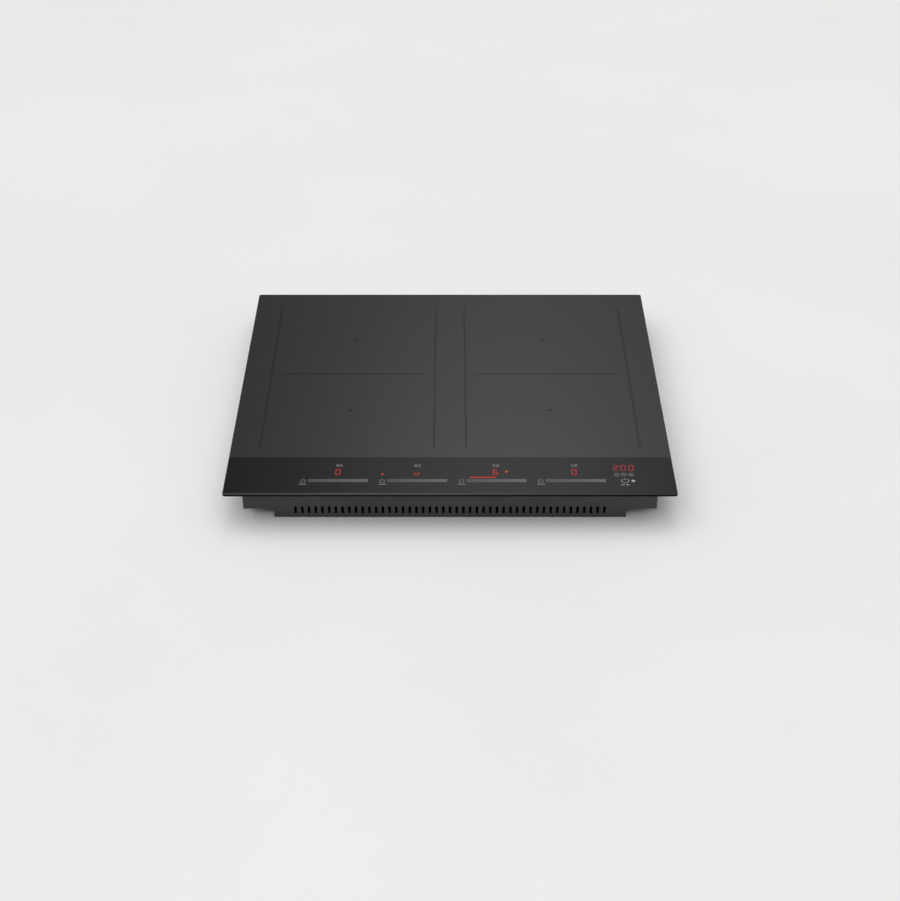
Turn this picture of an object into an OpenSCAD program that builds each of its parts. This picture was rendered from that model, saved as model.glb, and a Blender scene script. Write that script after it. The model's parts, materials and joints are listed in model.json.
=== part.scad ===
// Built-in induction cooktop: a glass top over a steel tray that drops into a worktop cut-out.
// Millimetres. +X is to the cook's right, +Y is to the back and +Z is up. The origin is the
// middle of the footprint, on the surface that the tray stands on.

/* [Glass] */
// Width of the glass top, left to right
glass_w = 600; // [594:1:606]
// Depth of the glass top, front to back
glass_d = 530; // [526:1:536]
// Thickness of the glass top
glass_t = 4; // [4:0.5:6]
// How far the ground bevel runs back from the front edge
bevel_run = 3; // [2:0.5:6]
// How far the bevel drops at the front edge
bevel_drop = 1.2; // [0.6:0.1:2]
// Radius of the glass's upright corners
glass_corner = 3; // [2:0.5:6]

/* [Cooking zones] */
// Width of one coil, left to right
coil_w = 210; // [206:2:214]
// Depth of one coil, front to back
coil_d = 190; // [186:2:190]
// Distance between the front and rear coil centres
coil_pitch = 191; // [191:1:192]
// Distance of each coil's centre from the middle of the glass
zone_x = 141; // [140:1:142]
// Distance from the glass's front edge to the line between front and rear zones
zone_split = 296; // [295:1:297]
// Gap between a coil's side and the printed line beside it
line_gap = 14; // [12:1:16]
// Width of the printed lines
line_w = 3; // [1:0.25:4]
// Number of turns in each winding
turns = 10; // [7:1:10]

/* [Controls] */
// Distance between the middles of neighbouring touch sliders
slider_pitch = 105.4; // [104:0.2:106]
// Length of a touch slider
slider_l = 80; // [74:1:84]
// Middle of the left slider from the middle of the glass
slider_x = -149; // [-150:1:-146]
// Distance from the glass's front edge to the middle of the sliders
slider_y = 29.6; // [29.4:0.1:31]
// Height of a display digit
digit_h = 13; // [10:1:14]
// Width of a display digit
digit_w = 7; // [6:0.5:8]

/* [Chassis] */
// Width of the chassis, which passes through the cut-out
case_w = 556; // [554:1:558]
// Depth of the chassis, which passes through the cut-out
case_d = 486; // [485:1:488]
// Height of the glass's underside above the base
glass_z = 51; // [51:0.5:54]
// Thickness of the folded sheet steel
sheet_t = 1; // [0.8:0.1:1]
// Width of the raised margin along each side of the tray
margin_w = 41; // [40:1:42]
// Height of the raised margin above the base
margin_h = 14; // [14:0.5:15]
// Width of the foam seal under the glass
seal_w = 8; // [6:1:10]

/* [Moving pieces] */
// Radius of the fan impeller
fan_r = 38; // [36:1:39]
// Number of blades on the impeller
blades = 30; // [20:2:36]
// Reach of a hold-down clamp from its screw
clamp_reach = 34; // [30:1:35]

/* [Hidden] */
$fn = 48;

// Places across the whole object
LEFT = -1;
RIGHT = 1;
SIDES = [LEFT, RIGHT];
front_y = -glass_d / 2;
top_z = glass_z + glass_t;
split_y = front_y + zone_split;
front_coil_y = split_y - coil_pitch / 2;
rear_coil_y = split_y + coil_pitch / 2;
mark_depth = 0.2;
dot_r = 3.2;
eps = 0.01;

// Chassis levels
frame_leg = 13;
flange_w = 4.5;
adhesive_t = 1;
flange_z = glass_z - adhesive_t - sheet_t;
tray_w = case_w - 2 * sheet_t;
tray_d = case_d - 2 * sheet_t;
tray_top = flange_z - 2;
well_w = tray_w - 2 * margin_w;
screw_z = flange_z - 7;
screw_r = 1.5;
screw_clear = 1.6;
screw_l = 3;
side_screw_y = [-180, -60, 60, 180];
end_screw_x = [-180, 0, 180];
slot_z = 12;
slot_h = 12;
bead_z = 25;
bead_w = 9;
bead_h = 0.7;

// Coil deck levels, from the deck plate up to the glass
deck_z = 37;
deck_plate_t = 1.5;
carrier_z = deck_z + deck_plate_t;
carrier_t = 6;
ferrite_t = 4;
winding_z = carrier_z + carrier_t;
winding_h = glass_z - 2 - winding_z;
insulation_t = 2;
wire_pitch = 6.6;
wire_gap = 1;
coil_corner = 42;
sensor_r = 7;

// Springs and their rails
rail_z = 30;
rail_h = 3;
rail_w = 16;
rail_y = [-150, 212];
spring_gap = 0.1;
spring_t = 0.4;
spring_half = 30;
spring_rise = deck_z - rail_z - rail_h - spring_gap;
spring_x = [75, 207];

// Fans
fan_x = 58;
fan_y = 182;
housing_r = 49;
housing_z = 1;
housing_top = 28;
housing_wall = 1.5;
outlet_w = 70;
outlet_y = 52;
intake_r = 30;
rotor_z = 6;
rotor_top = 22.5;
hub_z = 9;
stator_r = 12;
stator_z = 14.5;
cup_gap = 1.4;
shaft_r = 1.5;
shaft_clear = 0.05;

// Clamps, on the underside of the tray's raised margins
clamp_x = 262;
clamp_front_y = -215;
clamp_rear_y = 190;
clamp_z = 4;
clamp_t = 2;
clamp_w = 16;
clamp_tooth = 12;
pivot_r = 2;
pivot_clear = 0.05;

// Electronics
board_z = 6;
board_t = 1.6;
board_x = 119;
board_y = -6;
board_w = 218;
board_d = 248;
sink_x = 50;
sink_y = 30;
sink_w = 70;
sink_l = 150;
filter_x = 173;
filter_y = 185;

// Terminal compartment
box_x = [-222, -112];
box_y = [164, 241];
box_h = 28;
box_wall = 2;
hinge_y = box_y[0] + 7;
hinge_z = 4.5;
hinge_r = 1.5;
gland_x = -140;
gland_z = 13;
gland_r = 9;
gland_bore = 6.5;
wire_exit_y = 232;
wire_exit_z = 20;
wire_exit_r = 5.5;
block_x = -204;
block_y = 186;
block_z = 12;
way_w = 13;

// Controls, under the glass
holder_z = 36;
control_z = 44;
control_y = [-239.8, -178];
control_x = [-215, 262];
digit_y = front_y + 50;
timer_y = front_y + 59.5;
timer_x = 232.7;
level_y = front_y + 38;
slider_mid_y = front_y + slider_y;
touch_w = 5;
key_r = 3;
ribbon_x = 17;

// ---- Shapes that repeat ----

// A rectangle with round corners, centred on the origin
module rounded(w, d, r) {
    square([w - 2 * r, d], center = true);
    square([w, d - 2 * r], center = true);
    for (x = [-1, 1], y = [-1, 1])
        translate([x * (w / 2 - r), y * (d / 2 - r)]) circle(r);
}

// A plate with round corners, centred on the origin and standing on z = 0
module plate(w, d, r, h) {
    linear_extrude(h) rounded(w, d, r);
}

// A flat ring with round corners
module ring(w, d, r, band, h) {
    linear_extrude(h) difference() {
        rounded(w, d, r);
        rounded(w - 2 * band, d - 2 * band, max(r - band, 0.5));
    }
}

// A box between two corners
module block(low, high) {
    translate(low) cube(high - low);
}

// A slot with round ends, drawn flat and centred on the origin
module slot(length, width) {
    square([length - width, width], center = true);
    for (x = [-1, 1]) translate([x * (length - width) / 2, 0]) circle(width / 2, $fn = 24);
}

// A pan-head machine screw pointing along -Z, with the underside of its head on z = 0
module pan_screw(r, length) {
    difference() {
        union() {
            translate([0, 0, -length]) cylinder(r = r, h = length);
            cylinder(r1 = 1.9 * r, r2 = 1.5 * r, h = 1.1 * r);
        }
        for (a = [0, 90]) rotate(a)
            translate([-1.1 * r, -0.25 * r, 0.5 * r]) cube([2.2 * r, 0.5 * r, r]);
    }
}

// A round wire through a list of points
module wire(points, r) {
    for (i = [0 : len(points) - 2]) {
        run = points[i + 1] - points[i];
        length = norm(run);
        translate(points[i])
            rotate([0, acos(run[2] / length), atan2(run[1], run[0])])
                cylinder(r = r, h = length, $fn = 16);
    }
    for (i = [1 : 1 : len(points) - 2]) translate(points[i]) sphere(r, $fn = 16);
}

// Its children on the right-hand side, or mirrored on the left
module side(which) {
    if (which == LEFT) mirror([1, 0, 0]) children();
    else children();
}

// ---- Glass and its frame ----

// The printed marks as flat shapes: two lines beside each pair of zones, one between them,
// and a dot at the middle of each zone
module zone_print() {
    line_l = 2 * coil_d + 2;
    for (s = SIDES) {
        for (e = [-1, 1])
            translate([s * zone_x + e * (coil_w / 2 + line_gap), split_y])
                square([line_w, line_l], center = true);
        translate([s * zone_x, split_y]) square([coil_w, line_w], center = true);
        for (y = [front_coil_y, rear_coil_y]) translate([s * zone_x, y]) circle(dot_r);
    }
}

module glass_top() {
    color([0.16, 0.16, 0.165]) difference() {
        intersection() {
            translate([0, 0, glass_z]) plate(glass_w, glass_d, glass_corner, glass_t);
            // The side profile, with the bevel along the front edge
            rotate([90, 0, 90]) translate([0, 0, -glass_w]) linear_extrude(2 * glass_w)
                polygon([
                    [front_y, glass_z], [-front_y, glass_z], [-front_y, top_z],
                    [front_y + bevel_run, top_z], [front_y, top_z - bevel_drop]
                ]);
        }
        translate([0, 0, top_z - mark_depth]) linear_extrude(1) zone_print();
    }
}

module zone_marks() {
    color([0.05, 0.05, 0.052])
        translate([0, 0, top_z - mark_depth]) linear_extrude(mark_depth) zone_print();
}

module worktop_seal() {
    inset = 3;
    color([0.12, 0.12, 0.12]) translate([0, 0, glass_z - 2])
        ring(glass_w - 2 * inset, glass_d - 2 * inset, 4, seal_w, 2);
}

// Places the origin at each chassis screw, with +Z pointing outwards
module at_chassis_screws() {
    for (s = SIDES, y = side_screw_y)
        translate([s * case_w / 2, y, screw_z]) rotate([0, s * 90, 0]) children();
    for (s = SIDES, x = end_screw_x)
        translate([x, s * case_d / 2, screw_z]) rotate([-s * 90, 0, 0]) children();
}

module screw_holes() {
    at_chassis_screws() translate([0, 0, -5]) cylinder(r = screw_clear, h = 10);
}

module glass_frame() {
    color([0.22, 0.22, 0.23]) difference() {
        translate([0, 0, flange_z - frame_leg + sheet_t]) plate(case_w, case_d, 1, frame_leg);
        translate([0, 0, flange_z - frame_leg]) linear_extrude(frame_leg)
            square([tray_w, tray_d], center = true);
        translate([0, 0, flange_z - 1]) linear_extrude(sheet_t + 2)
            square([case_w - 2 * flange_w, case_d - 2 * flange_w], center = true);
        screw_holes();
    }
}

module frame_adhesive() {
    color([0.1, 0.1, 0.1]) translate([0, 0, glass_z - adhesive_t])
        ring(case_w, case_d, 1, flange_w, adhesive_t);
}

// ---- Tray ----

// The tray's cross-section: a deep well between two raised margins, cut inwards by t
module tray_section(t, top) {
    polygon([
        [-tray_w / 2 + t, margin_h + t], [-well_w / 2 + t, margin_h + t],
        [-well_w / 2 + t, t], [well_w / 2 - t, t],
        [well_w / 2 - t, margin_h + t], [tray_w / 2 - t, margin_h + t],
        [tray_w / 2 - t, top], [-tray_w / 2 + t, top]
    ]);
}

// The air slots under one fan, each as long as the round opening is wide there
module intake_slots() {
    grille_r = 31;
    for (i = [-4 : 4]) {
        x = 6.5 * i;
        translate([x, 0]) rotate(90) slot(2 * sqrt(grille_r * grille_r - x * x), 3.6);
    }
}

module wall_slots(first, last, height) {
    for (x = [first : 9 : last]) translate([x, 0]) rotate(90) slot(height, 3.6);
}

// Pressed beads that stiffen a side wall, as flat shapes along the wall
module side_beads() {
    for (y = [-145, 0, 145]) translate([y, bead_z]) slot(110, bead_w);
}

module base_tray() {
    run = tray_d - 2 * sheet_t;
    color([0.15, 0.15, 0.16]) difference() {
        union() {
            rotate([90, 0, 0]) translate([0, 0, -run / 2])
                linear_extrude(run) tray_section(0, tray_top);
            for (s = SIDES) translate([s * (tray_w / 2 + bead_h / 2 - 0.1), 0, 0])
                rotate([90, 0, 90]) linear_extrude(bead_h + 0.2, center = true) side_beads();
        }
        rotate([90, 0, 0]) translate([0, 0, -run])
            linear_extrude(2 * run) tray_section(sheet_t, tray_top + 5);
        screw_holes();
        for (s = SIDES) translate([s * fan_x, fan_y, -1]) linear_extrude(4) intake_slots();
        // Opening for the terminal box
        block([box_x[0], box_y[0], -1], [box_x[1], box_y[1] + 1, 3]);
        at_clamps() translate([0, 0, margin_h - 2]) cylinder(r = pivot_r + 0.1, h = 6);
    }
}

// The tray's end panels, one behind each row of air slots
module tray_front_panel() {
    color([0.15, 0.15, 0.16]) difference() {
        translate([0, -tray_d / 2 + sheet_t, 0]) rotate([90, 0, 0])
            linear_extrude(sheet_t) tray_section(0, tray_top);
        screw_holes();
        translate([0, -tray_d / 2 + 3, slot_z]) rotate([90, 0, 0])
            linear_extrude(6) wall_slots(-207, 207, slot_h);
    }
}

module tray_rear_panel() {
    color([0.15, 0.15, 0.16]) difference() {
        translate([0, tray_d / 2, 0]) rotate([90, 0, 0])
            linear_extrude(sheet_t) tray_section(0, tray_top);
        screw_holes();
        translate([0, tray_d / 2 + 3, slot_z]) rotate([90, 0, 0])
            linear_extrude(6) wall_slots(36, 207, slot_h);
        translate([gland_x, tray_d / 2 - 3, gland_z]) rotate([-90, 0, 0])
            cylinder(r = gland_r, h = 6);
    }
}

module chassis_screws() {
    color([0.62, 0.62, 0.64]) at_chassis_screws() pan_screw(screw_r, screw_l);
}

// ---- Rails and springs that carry the coil decks ----

// Two channels across the tray, open below
module support_rails() {
    half = tray_w / 2 - sheet_t;
    color([0.7, 0.71, 0.72]) for (y = rail_y) difference() {
        block([-half, y - rail_w / 2, rail_z], [half, y + rail_w / 2, rail_z + rail_h]);
        block([-half + sheet_t, y - rail_w / 2 + sheet_t, rail_z - 1],
              [half - sheet_t, y + rail_w / 2 - sheet_t, rail_z + rail_h - sheet_t]);
    }
}

// A bowed leaf spring: a strip of a thin drum, standing on its two ends
module leaf_spring() {
    bow_r = (spring_half * spring_half + spring_rise * spring_rise) / (2 * spring_rise);
    intersection() {
        translate([0, 0, spring_rise - bow_r]) rotate([90, 0, 0]) difference() {
            cylinder(r = bow_r, h = 10, center = true, $fn = 128);
            cylinder(r = bow_r - spring_t, h = 11, center = true, $fn = 128);
        }
        translate([-spring_half, -6, 0]) cube([2 * spring_half, 12, 10]);
    }
}

module deck_springs(which) {
    color([0.75, 0.75, 0.77]) for (x = spring_x, y = rail_y)
        translate([which * x, y, rail_z + rail_h]) leaf_spring();
}

// ---- Coil decks ----

module deck_plate(which) {
    front = front_coil_y - coil_d / 2 - 4;
    rear = rear_coil_y + coil_d / 2 + 4;
    color([0.78, 0.79, 0.8]) side(which) difference() {
        translate([zone_x, (front + rear) / 2, deck_z])
            plate(coil_w + 14, rear - front, 8, deck_plate_t);
        for (y = [front_coil_y, rear_coil_y]) translate([zone_x, y, deck_z - 1]) {
            cylinder(r = sensor_r + 3, h = 4);
            for (s = [-1, 1]) translate([0, s * 45, 0]) linear_extrude(4) slot(60, 10);
        }
    }
}

// The ferrite bars under one coil, as flat shapes
module ferrite_plan() {
    for (x = [-72, -24, 24, 72], y = [-1, 1]) translate([x, y * 55]) square([14, 58], center = true);
    for (x = [-1, 1]) translate([x * 66, 0]) square([58, 14], center = true);
}

module coil_carrier(which, y) {
    color([0.85, 0.84, 0.8]) translate([which * zone_x, y, carrier_z]) difference() {
        plate(coil_w - 4, coil_d - 4, coil_corner - 2, carrier_t);
        translate([0, 0, -1]) linear_extrude(ferrite_t + 1) ferrite_plan();
        translate([0, 0, -1]) cylinder(r = sensor_r, h = carrier_t + 2);
        for (x = [-48, 0, 48], s = [-1, 1]) translate([x, s * 55, -1]) linear_extrude(carrier_t + 2)
            rotate(90) slot(50, 8);
    }
}

module ferrite_bars(which) {
    color([0.2, 0.2, 0.21]) for (y = [front_coil_y, rear_coil_y])
        translate([which * zone_x, y, carrier_z]) linear_extrude(ferrite_t) ferrite_plan();
}

// One winding as nested turns of twisted wire, each a closed loop
module coil_winding(which, y) {
    color([0.72, 0.4, 0.2]) translate([which * zone_x, y, winding_z])
        for (i = [0 : turns - 1])
            ring(coil_w - 2 * i * wire_pitch, coil_d - 2 * i * wire_pitch,
                 max(coil_corner - i * wire_pitch, 12), wire_pitch - wire_gap, winding_h);
}

module heat_sensors(which) {
    color([0.9, 0.9, 0.88]) for (y = [front_coil_y, rear_coil_y])
        translate([which * zone_x, y, carrier_z]) {
            cylinder(r = sensor_r, h = glass_z - carrier_z);
            translate([0, 0, -4]) cylinder(r = 2, h = 4);
        }
}

module coil_insulation(which) {
    color([0.88, 0.87, 0.82]) for (y = [front_coil_y, rear_coil_y])
        translate([which * zone_x, y, glass_z - insulation_t]) difference() {
            plate(coil_w + 0.5, coil_d + 0.5, coil_corner, insulation_t);
            translate([0, 0, -1]) cylinder(r = sensor_r + 1, h = insulation_t + 2);
        }
}

// Two wires up from the power board to each coil
module coil_leads(which) {
    foot_z = board_z + board_t;
    color([0.6, 0.1, 0.08]) for (y = [-124, 110], x = [-8, 8])
        wire([[which * (zone_x + x), y, foot_z],
              [which * (zone_x + x), y, foot_z + 12],
              [which * (zone_x + 2 * x), y, foot_z + 20],
              [which * (zone_x + 2 * x), y, deck_z]], 1.5);
}

// ---- Fans ----

// A round chamber with a straight outlet towards the front, shrunk by wall
module fan_housing_plan(wall, reach) {
    circle(housing_r - wall, $fn = 96);
    translate([-housing_r + wall, -reach]) square([outlet_w - 2 * wall, reach]);
}

module fan_housing(which) {
    h = housing_top - housing_z;
    color([0.12, 0.12, 0.13]) side(which) translate([fan_x, fan_y, housing_z]) difference() {
        linear_extrude(h) fan_housing_plan(0, outlet_y);
        translate([0, 0, housing_wall]) linear_extrude(h - 2 * housing_wall)
            fan_housing_plan(housing_wall, outlet_y + 5);
        // The intake over the tray's grille
        translate([0, 0, -1]) cylinder(r = intake_r, h = housing_wall + 2);
    }
}

module fan_motors() {
    color([0.5, 0.5, 0.52]) for (s = SIDES) translate([s * fan_x, fan_y, 0]) {
        translate([0, 0, stator_z])
            cylinder(r = stator_r, h = housing_top - housing_wall - stator_z);
        translate([0, 0, hub_z - 0.5]) cylinder(r = shaft_r, h = stator_z - hub_z + 1);
    }
}

// The impeller: a hub cup on the shaft, round the motor, a back plate, blades and a lower ring
module fan_rotor(which) {
    cup_z = hub_z + 1;
    cup_wall = 1.5;
    back_t = 1.5;
    cup_r = stator_r + cup_gap + cup_wall;
    bore_r = shaft_r + shaft_clear;
    color([0.18, 0.18, 0.19]) side(which) translate([fan_x, fan_y, 0]) union() {
        rotate_extrude($fn = 96) polygon([
            [bore_r, hub_z], [4, hub_z], [4, cup_z], [cup_r, cup_z],
            [cup_r, rotor_top - back_t], [fan_r, rotor_top - back_t], [fan_r, rotor_top],
            [cup_r - cup_wall, rotor_top], [cup_r - cup_wall, cup_z + cup_wall],
            [4, cup_z + cup_wall], [4, hub_z + 4], [bore_r, hub_z + 4]
        ]);
        translate([0, 0, rotor_z]) linear_extrude(rotor_top - back_t / 2 - rotor_z)
            for (i = [0 : blades - 1]) rotate(360 * i / blades)
                translate([fan_r - 10, 0]) rotate(25) translate([0, -0.6]) square([9, 1.2]);
        translate([0, 0, rotor_z - 1]) linear_extrude(2) difference() {
            circle(fan_r - 0.2, $fn = 96);
            circle(fan_r - 4, $fn = 96);
        }
    }
}

// ---- Power electronics ----

module board_carriers() {
    color([0.2, 0.21, 0.22]) for (s = SIDES) side(s) translate([board_x, board_y, sheet_t]) {
        difference() {
            plate(board_w + 4, board_d + 2, 3, 2);
            for (x = [-1, 0, 1], y = [-1, 0, 1])
                translate([x * 68, y * 78, -1]) plate(56, 64, 4, 4);
        }
        for (x = [-1, 1], y = [-1, 1])
            translate([x * (board_w / 2 - 6), y * (board_d / 2 - 6), 2])
                cylinder(r = 4, h = board_z - sheet_t - 2);
    }
}

module power_board(which) {
    color([0.1, 0.32, 0.18]) side(which) translate([board_x, board_y, board_z]) difference() {
        plate(board_w, board_d, 2, board_t);
        for (x = [-1, 1], y = [-1, 1])
            translate([x * (board_w / 2 - 6), y * (board_d / 2 - 6), -1]) cylinder(r = 1.7, h = 4);
    }
}

module heatsinks() {
    fins = 11;
    color([0.74, 0.75, 0.76]) for (s = SIDES) side(s)
        translate([sink_x - sink_w / 2, sink_y - sink_l / 2, board_z + board_t]) {
            cube([sink_w, sink_l, 4]);
            for (i = [0 : fins - 1])
                translate([i * (sink_w - 1.6) / (fins - 1), 0, 3]) cube([1.6, sink_l, 20]);
        }
}

// Power transistors beside the heatsink
module transistors() {
    color([0.08, 0.08, 0.08]) for (s = SIDES) side(s) for (y = [-30, 0, 30, 60])
        translate([sink_x + sink_w / 2 + 0.2, y, board_z + board_t]) cube([5, 16, 20]);
}

module capacitors() {
    color([0.85, 0.8, 0.35]) for (s = SIDES) side(s) {
        for (y = [-108, -70]) translate([146, y, board_z + board_t]) plate(44, 26, 2, 22);
        for (y = [0, 40]) translate([130, y, board_z + board_t]) cylinder(r = 12, h = 23);
        for (x = [186, 206], y = [-20, 4, 28])
            translate([x, y, board_z + board_t]) cylinder(r = 6, h = 14);
    }
}

// Ring-shaped inductors that lie on the power boards
module chokes() {
    core_r = 7;
    color([0.72, 0.42, 0.18]) for (s = SIDES) side(s) for (y = [-107, -67])
        translate([74, y, board_z + board_t + core_r]) rotate_extrude($fn = 64)
            translate([12, 0]) circle(core_r);
}

module filter_board() {
    deck = board_z + board_t;
    color([0.12, 0.3, 0.2]) {
        translate([filter_x, filter_y, board_z]) plate(112, 100, 2, board_t);
        for (x = [-44, 44], y = [-40, 40])
            translate([filter_x + x, filter_y + y, sheet_t]) cylinder(r = 4, h = board_z - sheet_t);
        for (x = [-24, 24]) translate([filter_x + x, filter_y - 22, deck]) plate(36, 34, 5, 20);
        for (x = [-36, -6, 24]) translate([filter_x + x, filter_y + 26, deck]) plate(20, 30, 1, 17);
    }
}

// ---- Terminal compartment ----

module terminal_box() {
    color([0.16, 0.16, 0.17]) difference() {
        block([box_x[0], box_y[0], 0], [box_x[1], box_y[1], box_h]);
        block([box_x[0] + box_wall, box_y[0] + box_wall, -1],
              [box_x[1] - box_wall, box_y[1] - box_wall, box_h - box_wall]);
        // Mouth for the gland, and the cover's two hinge holes
        translate([gland_x, box_y[1] - 4, gland_z]) rotate([-90, 0, 0])
            cylinder(r = gland_r, h = 8);
        translate([box_x[0] - 1, hinge_y, hinge_z]) rotate([0, 90, 0])
            cylinder(r = hinge_r + 0.05, h = box_x[1] - box_x[0] + 2);
        // The way out for the wires to the filter board
        translate([box_x[1] - 4, wire_exit_y, wire_exit_z]) rotate([0, 90, 0])
            cylinder(r = wire_exit_r, h = 8);
    }
}

// Five screw terminals in a moulded block under the box's ceiling
module terminal_block() {
    block_d = 18;
    translate([block_x, block_y, block_z]) {
        color([0.9, 0.9, 0.86]) difference() {
            cube([5 * way_w, block_d, box_h - box_wall - block_z]);
            for (i = [0 : 4]) translate([(i + 0.5) * way_w, block_d / 2, -1])
                cylinder(r = 3.4, h = 7);
            for (i = [1 : 4]) translate([i * way_w - 0.6, -1, -1]) cube([1.2, block_d + 2, 4]);
        }
        color([0.75, 0.65, 0.35]) for (i = [0 : 4])
            translate([(i + 0.5) * way_w, block_d / 2, 2]) difference() {
                cylinder(r = 3, h = 5);
                translate([-4, -0.5, -1]) cube([8, 1, 2]);
            }
    }
}

// The bar that holds the mains cable, on two posts from the box's ceiling, with its two screws
module cable_clamp() {
    bar_y = 224;
    bar_z = [5.2, 7.8];
    post_x = 12;
    color([0.8, 0.8, 0.78]) for (s = [-1, 1]) translate([gland_x + s * post_x, bar_y, 0])
        translate([0, 0, bar_z[1]]) difference() {
            cylinder(r = 4, h = box_h - box_wall - bar_z[1]);
            translate([0, 0, -1]) cylinder(r = 1.55, h = 9);
        }
    color([0.8, 0.8, 0.78]) difference() {
        block([gland_x - post_x - 5, bar_y - 5, bar_z[0]], [gland_x + post_x + 5, bar_y + 5, bar_z[1]]);
        for (s = [-1, 1]) translate([gland_x + s * post_x, bar_y, 0]) cylinder(r = 1.7, h = 12);
    }
    color([0.6, 0.6, 0.62]) for (s = [-1, 1])
        translate([gland_x + s * post_x, bar_y, bar_z[0]]) mirror([0, 0, 1]) pan_screw(1.5, 9);
}

module cable_gland() {
    inner_y = box_y[1] - box_wall;
    outer_y = tray_d / 2;
    color([0.07, 0.07, 0.07]) difference() {
        union() {
            translate([gland_x, inner_y - 1.5, gland_z]) rotate([-90, 0, 0])
                cylinder(r = gland_r, h = outer_y - inner_y + 3);
            translate([gland_x, inner_y - 1.5, gland_z]) rotate([-90, 0, 0])
                cylinder(r = gland_r + 1, h = 1.5);
            // The six-sided lock nut
            translate([gland_x, outer_y, gland_z]) rotate([-90, 0, 0])
                cylinder(r = gland_r + 3.5, h = 2.5, $fn = 6);
        }
        translate([gland_x, inner_y - 5, gland_z]) rotate([-90, 0, 0])
            cylinder(r = gland_bore, h = 20);
    }
}

// The drop-down cover, with two pins that turn in the terminal box's side walls
module terminal_cover() {
    side_gap = 0.5;
    color([0.18, 0.18, 0.19]) {
        x0 = box_x[0] + box_wall + side_gap;
        x1 = box_x[1] - box_wall - side_gap;
        block([x0, hinge_y - 2.5, 0.6], [x1, box_y[1] - box_wall - side_gap, 2.6]);
        for (y = [20, 30, 40]) translate([x0 + 20, hinge_y + y, 0.3]) cube([x1 - x0 - 40, 2, 0.4]);
        for (e = [0, 1]) translate([e ? x1 - 8 : x0, hinge_y, hinge_z]) {
            rotate([0, 90, 0]) cylinder(r = 2.5, h = 8);
            translate([0, -2.5, 2 - hinge_z]) cube([8, 5, hinge_z - 2]);
            translate([e ? 8 - eps : -1.9, 0, 0]) rotate([0, 90, 0])
                cylinder(r = hinge_r, h = 1.9 + eps);
        }
    }
}

// ---- Controls ----

module control_holder() {
    color([0.14, 0.14, 0.15]) difference() {
        block([control_x[0], control_y[0], holder_z], [control_x[1], control_y[1], control_z + 3]);
        block([control_x[0] + 2, control_y[0] + 2, holder_z + 2],
              [control_x[1] - 2, control_y[1] - 2, control_z]);
        block([control_x[0] + 1, control_y[0] + 1, control_z],
              [control_x[1] - 1, control_y[1] - 1, control_z + 4]);
        // The ribbon cable's way out
        block([ribbon_x - 6, control_y[1] - 4, holder_z + 4],
              [ribbon_x + 6, control_y[1] + 1, holder_z + 7]);
    }
    // Four posts carry the holder from the tray's floor
    color([0.14, 0.14, 0.15]) for (x = [-200, -70, 70, 200])
        translate([x, (control_y[0] + control_y[1]) / 2, sheet_t])
            cylinder(r = 4, h = holder_z - sheet_t);
}

module control_board() {
    color([0.1, 0.3, 0.2])
        block([control_x[0] + 1, control_y[0] + 1, control_z],
              [control_x[1] - 1, control_y[1] - 1, control_z + board_t]);
}

// One seven-segment module: its face carries seven shallow bars
module digit(x, y) {
    gap = 0.2;
    base = control_z + board_t;
    face = glass_z - gap;
    translate([x, y, base]) difference() {
        translate([-digit_w / 2 - 2, -digit_h / 2 - 2, 0])
            cube([digit_w + 4, digit_h + 4, face - base]);
        translate([0, 0, face - base - 0.3]) linear_extrude(1) segments();
    }
}

module segments() {
    bar = 1.2;
    for (y = [-1, 0, 1]) translate([0, y * (digit_h - bar) / 2])
        square([digit_w - 2 * bar - 0.6, bar], center = true);
    for (x = [-1, 1], y = [-1, 1]) translate([x * (digit_w - bar) / 2, y * digit_h / 4])
        square([bar, digit_h / 2 - bar - 0.6], center = true);
}

module digit_displays() {
    color([0.2, 0.06, 0.05]) {
        for (i = [0 : 3]) digit(slider_x + i * slider_pitch, digit_y);
        for (i = [-1 : 1]) digit(timer_x + i * (digit_w + 4), timer_y);
    }
}

// The light bars over the sliders
module level_lights() {
    base = control_z + board_t;
    color([0.5, 0.1, 0.08]) for (i = [0 : 3])
        translate([slider_x + i * slider_pitch, level_y, base])
            plate(slider_l - 8, 3, 1, glass_z - 0.2 - base);
}

// Conductive foam under the sliders and the round keys, pressed up against the glass
module touch_pads() {
    base = control_z + board_t;
    color([0.25, 0.25, 0.27]) {
        for (i = [0 : 3]) {
            translate([slider_x + i * slider_pitch, slider_mid_y, base])
                plate(slider_l, touch_w, 1, glass_z - base);
            translate([slider_x + i * slider_pitch - slider_l / 2 - 7, slider_mid_y, base])
                cylinder(r = key_r, h = glass_z - base);
        }
        for (x = [-9, 0, 9]) translate([timer_x + x, slider_mid_y, base])
            cylinder(r = key_r, h = glass_z - base);
    }
}

// A flat cable from the control board's holder, under the front rail, to the power board
module ribbon_cable() {
    half = 5;
    t = 1;
    from_y = control_y[1] - 4;
    drop_y = control_y[1] + 12;
    foot_y = -126;
    top = holder_z + 6;
    low = 20;
    color([0.6, 0.6, 0.58]) translate([ribbon_x, 0, 0]) {
        block([-half, from_y, top - t], [half, drop_y + t, top]);
        block([-half, drop_y, low], [half, drop_y + t, top]);
        block([-half, drop_y, low - t], [half, foot_y, low]);
        block([-half, foot_y - t, board_z + board_t], [half, foot_y, low]);
    }
}

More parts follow.
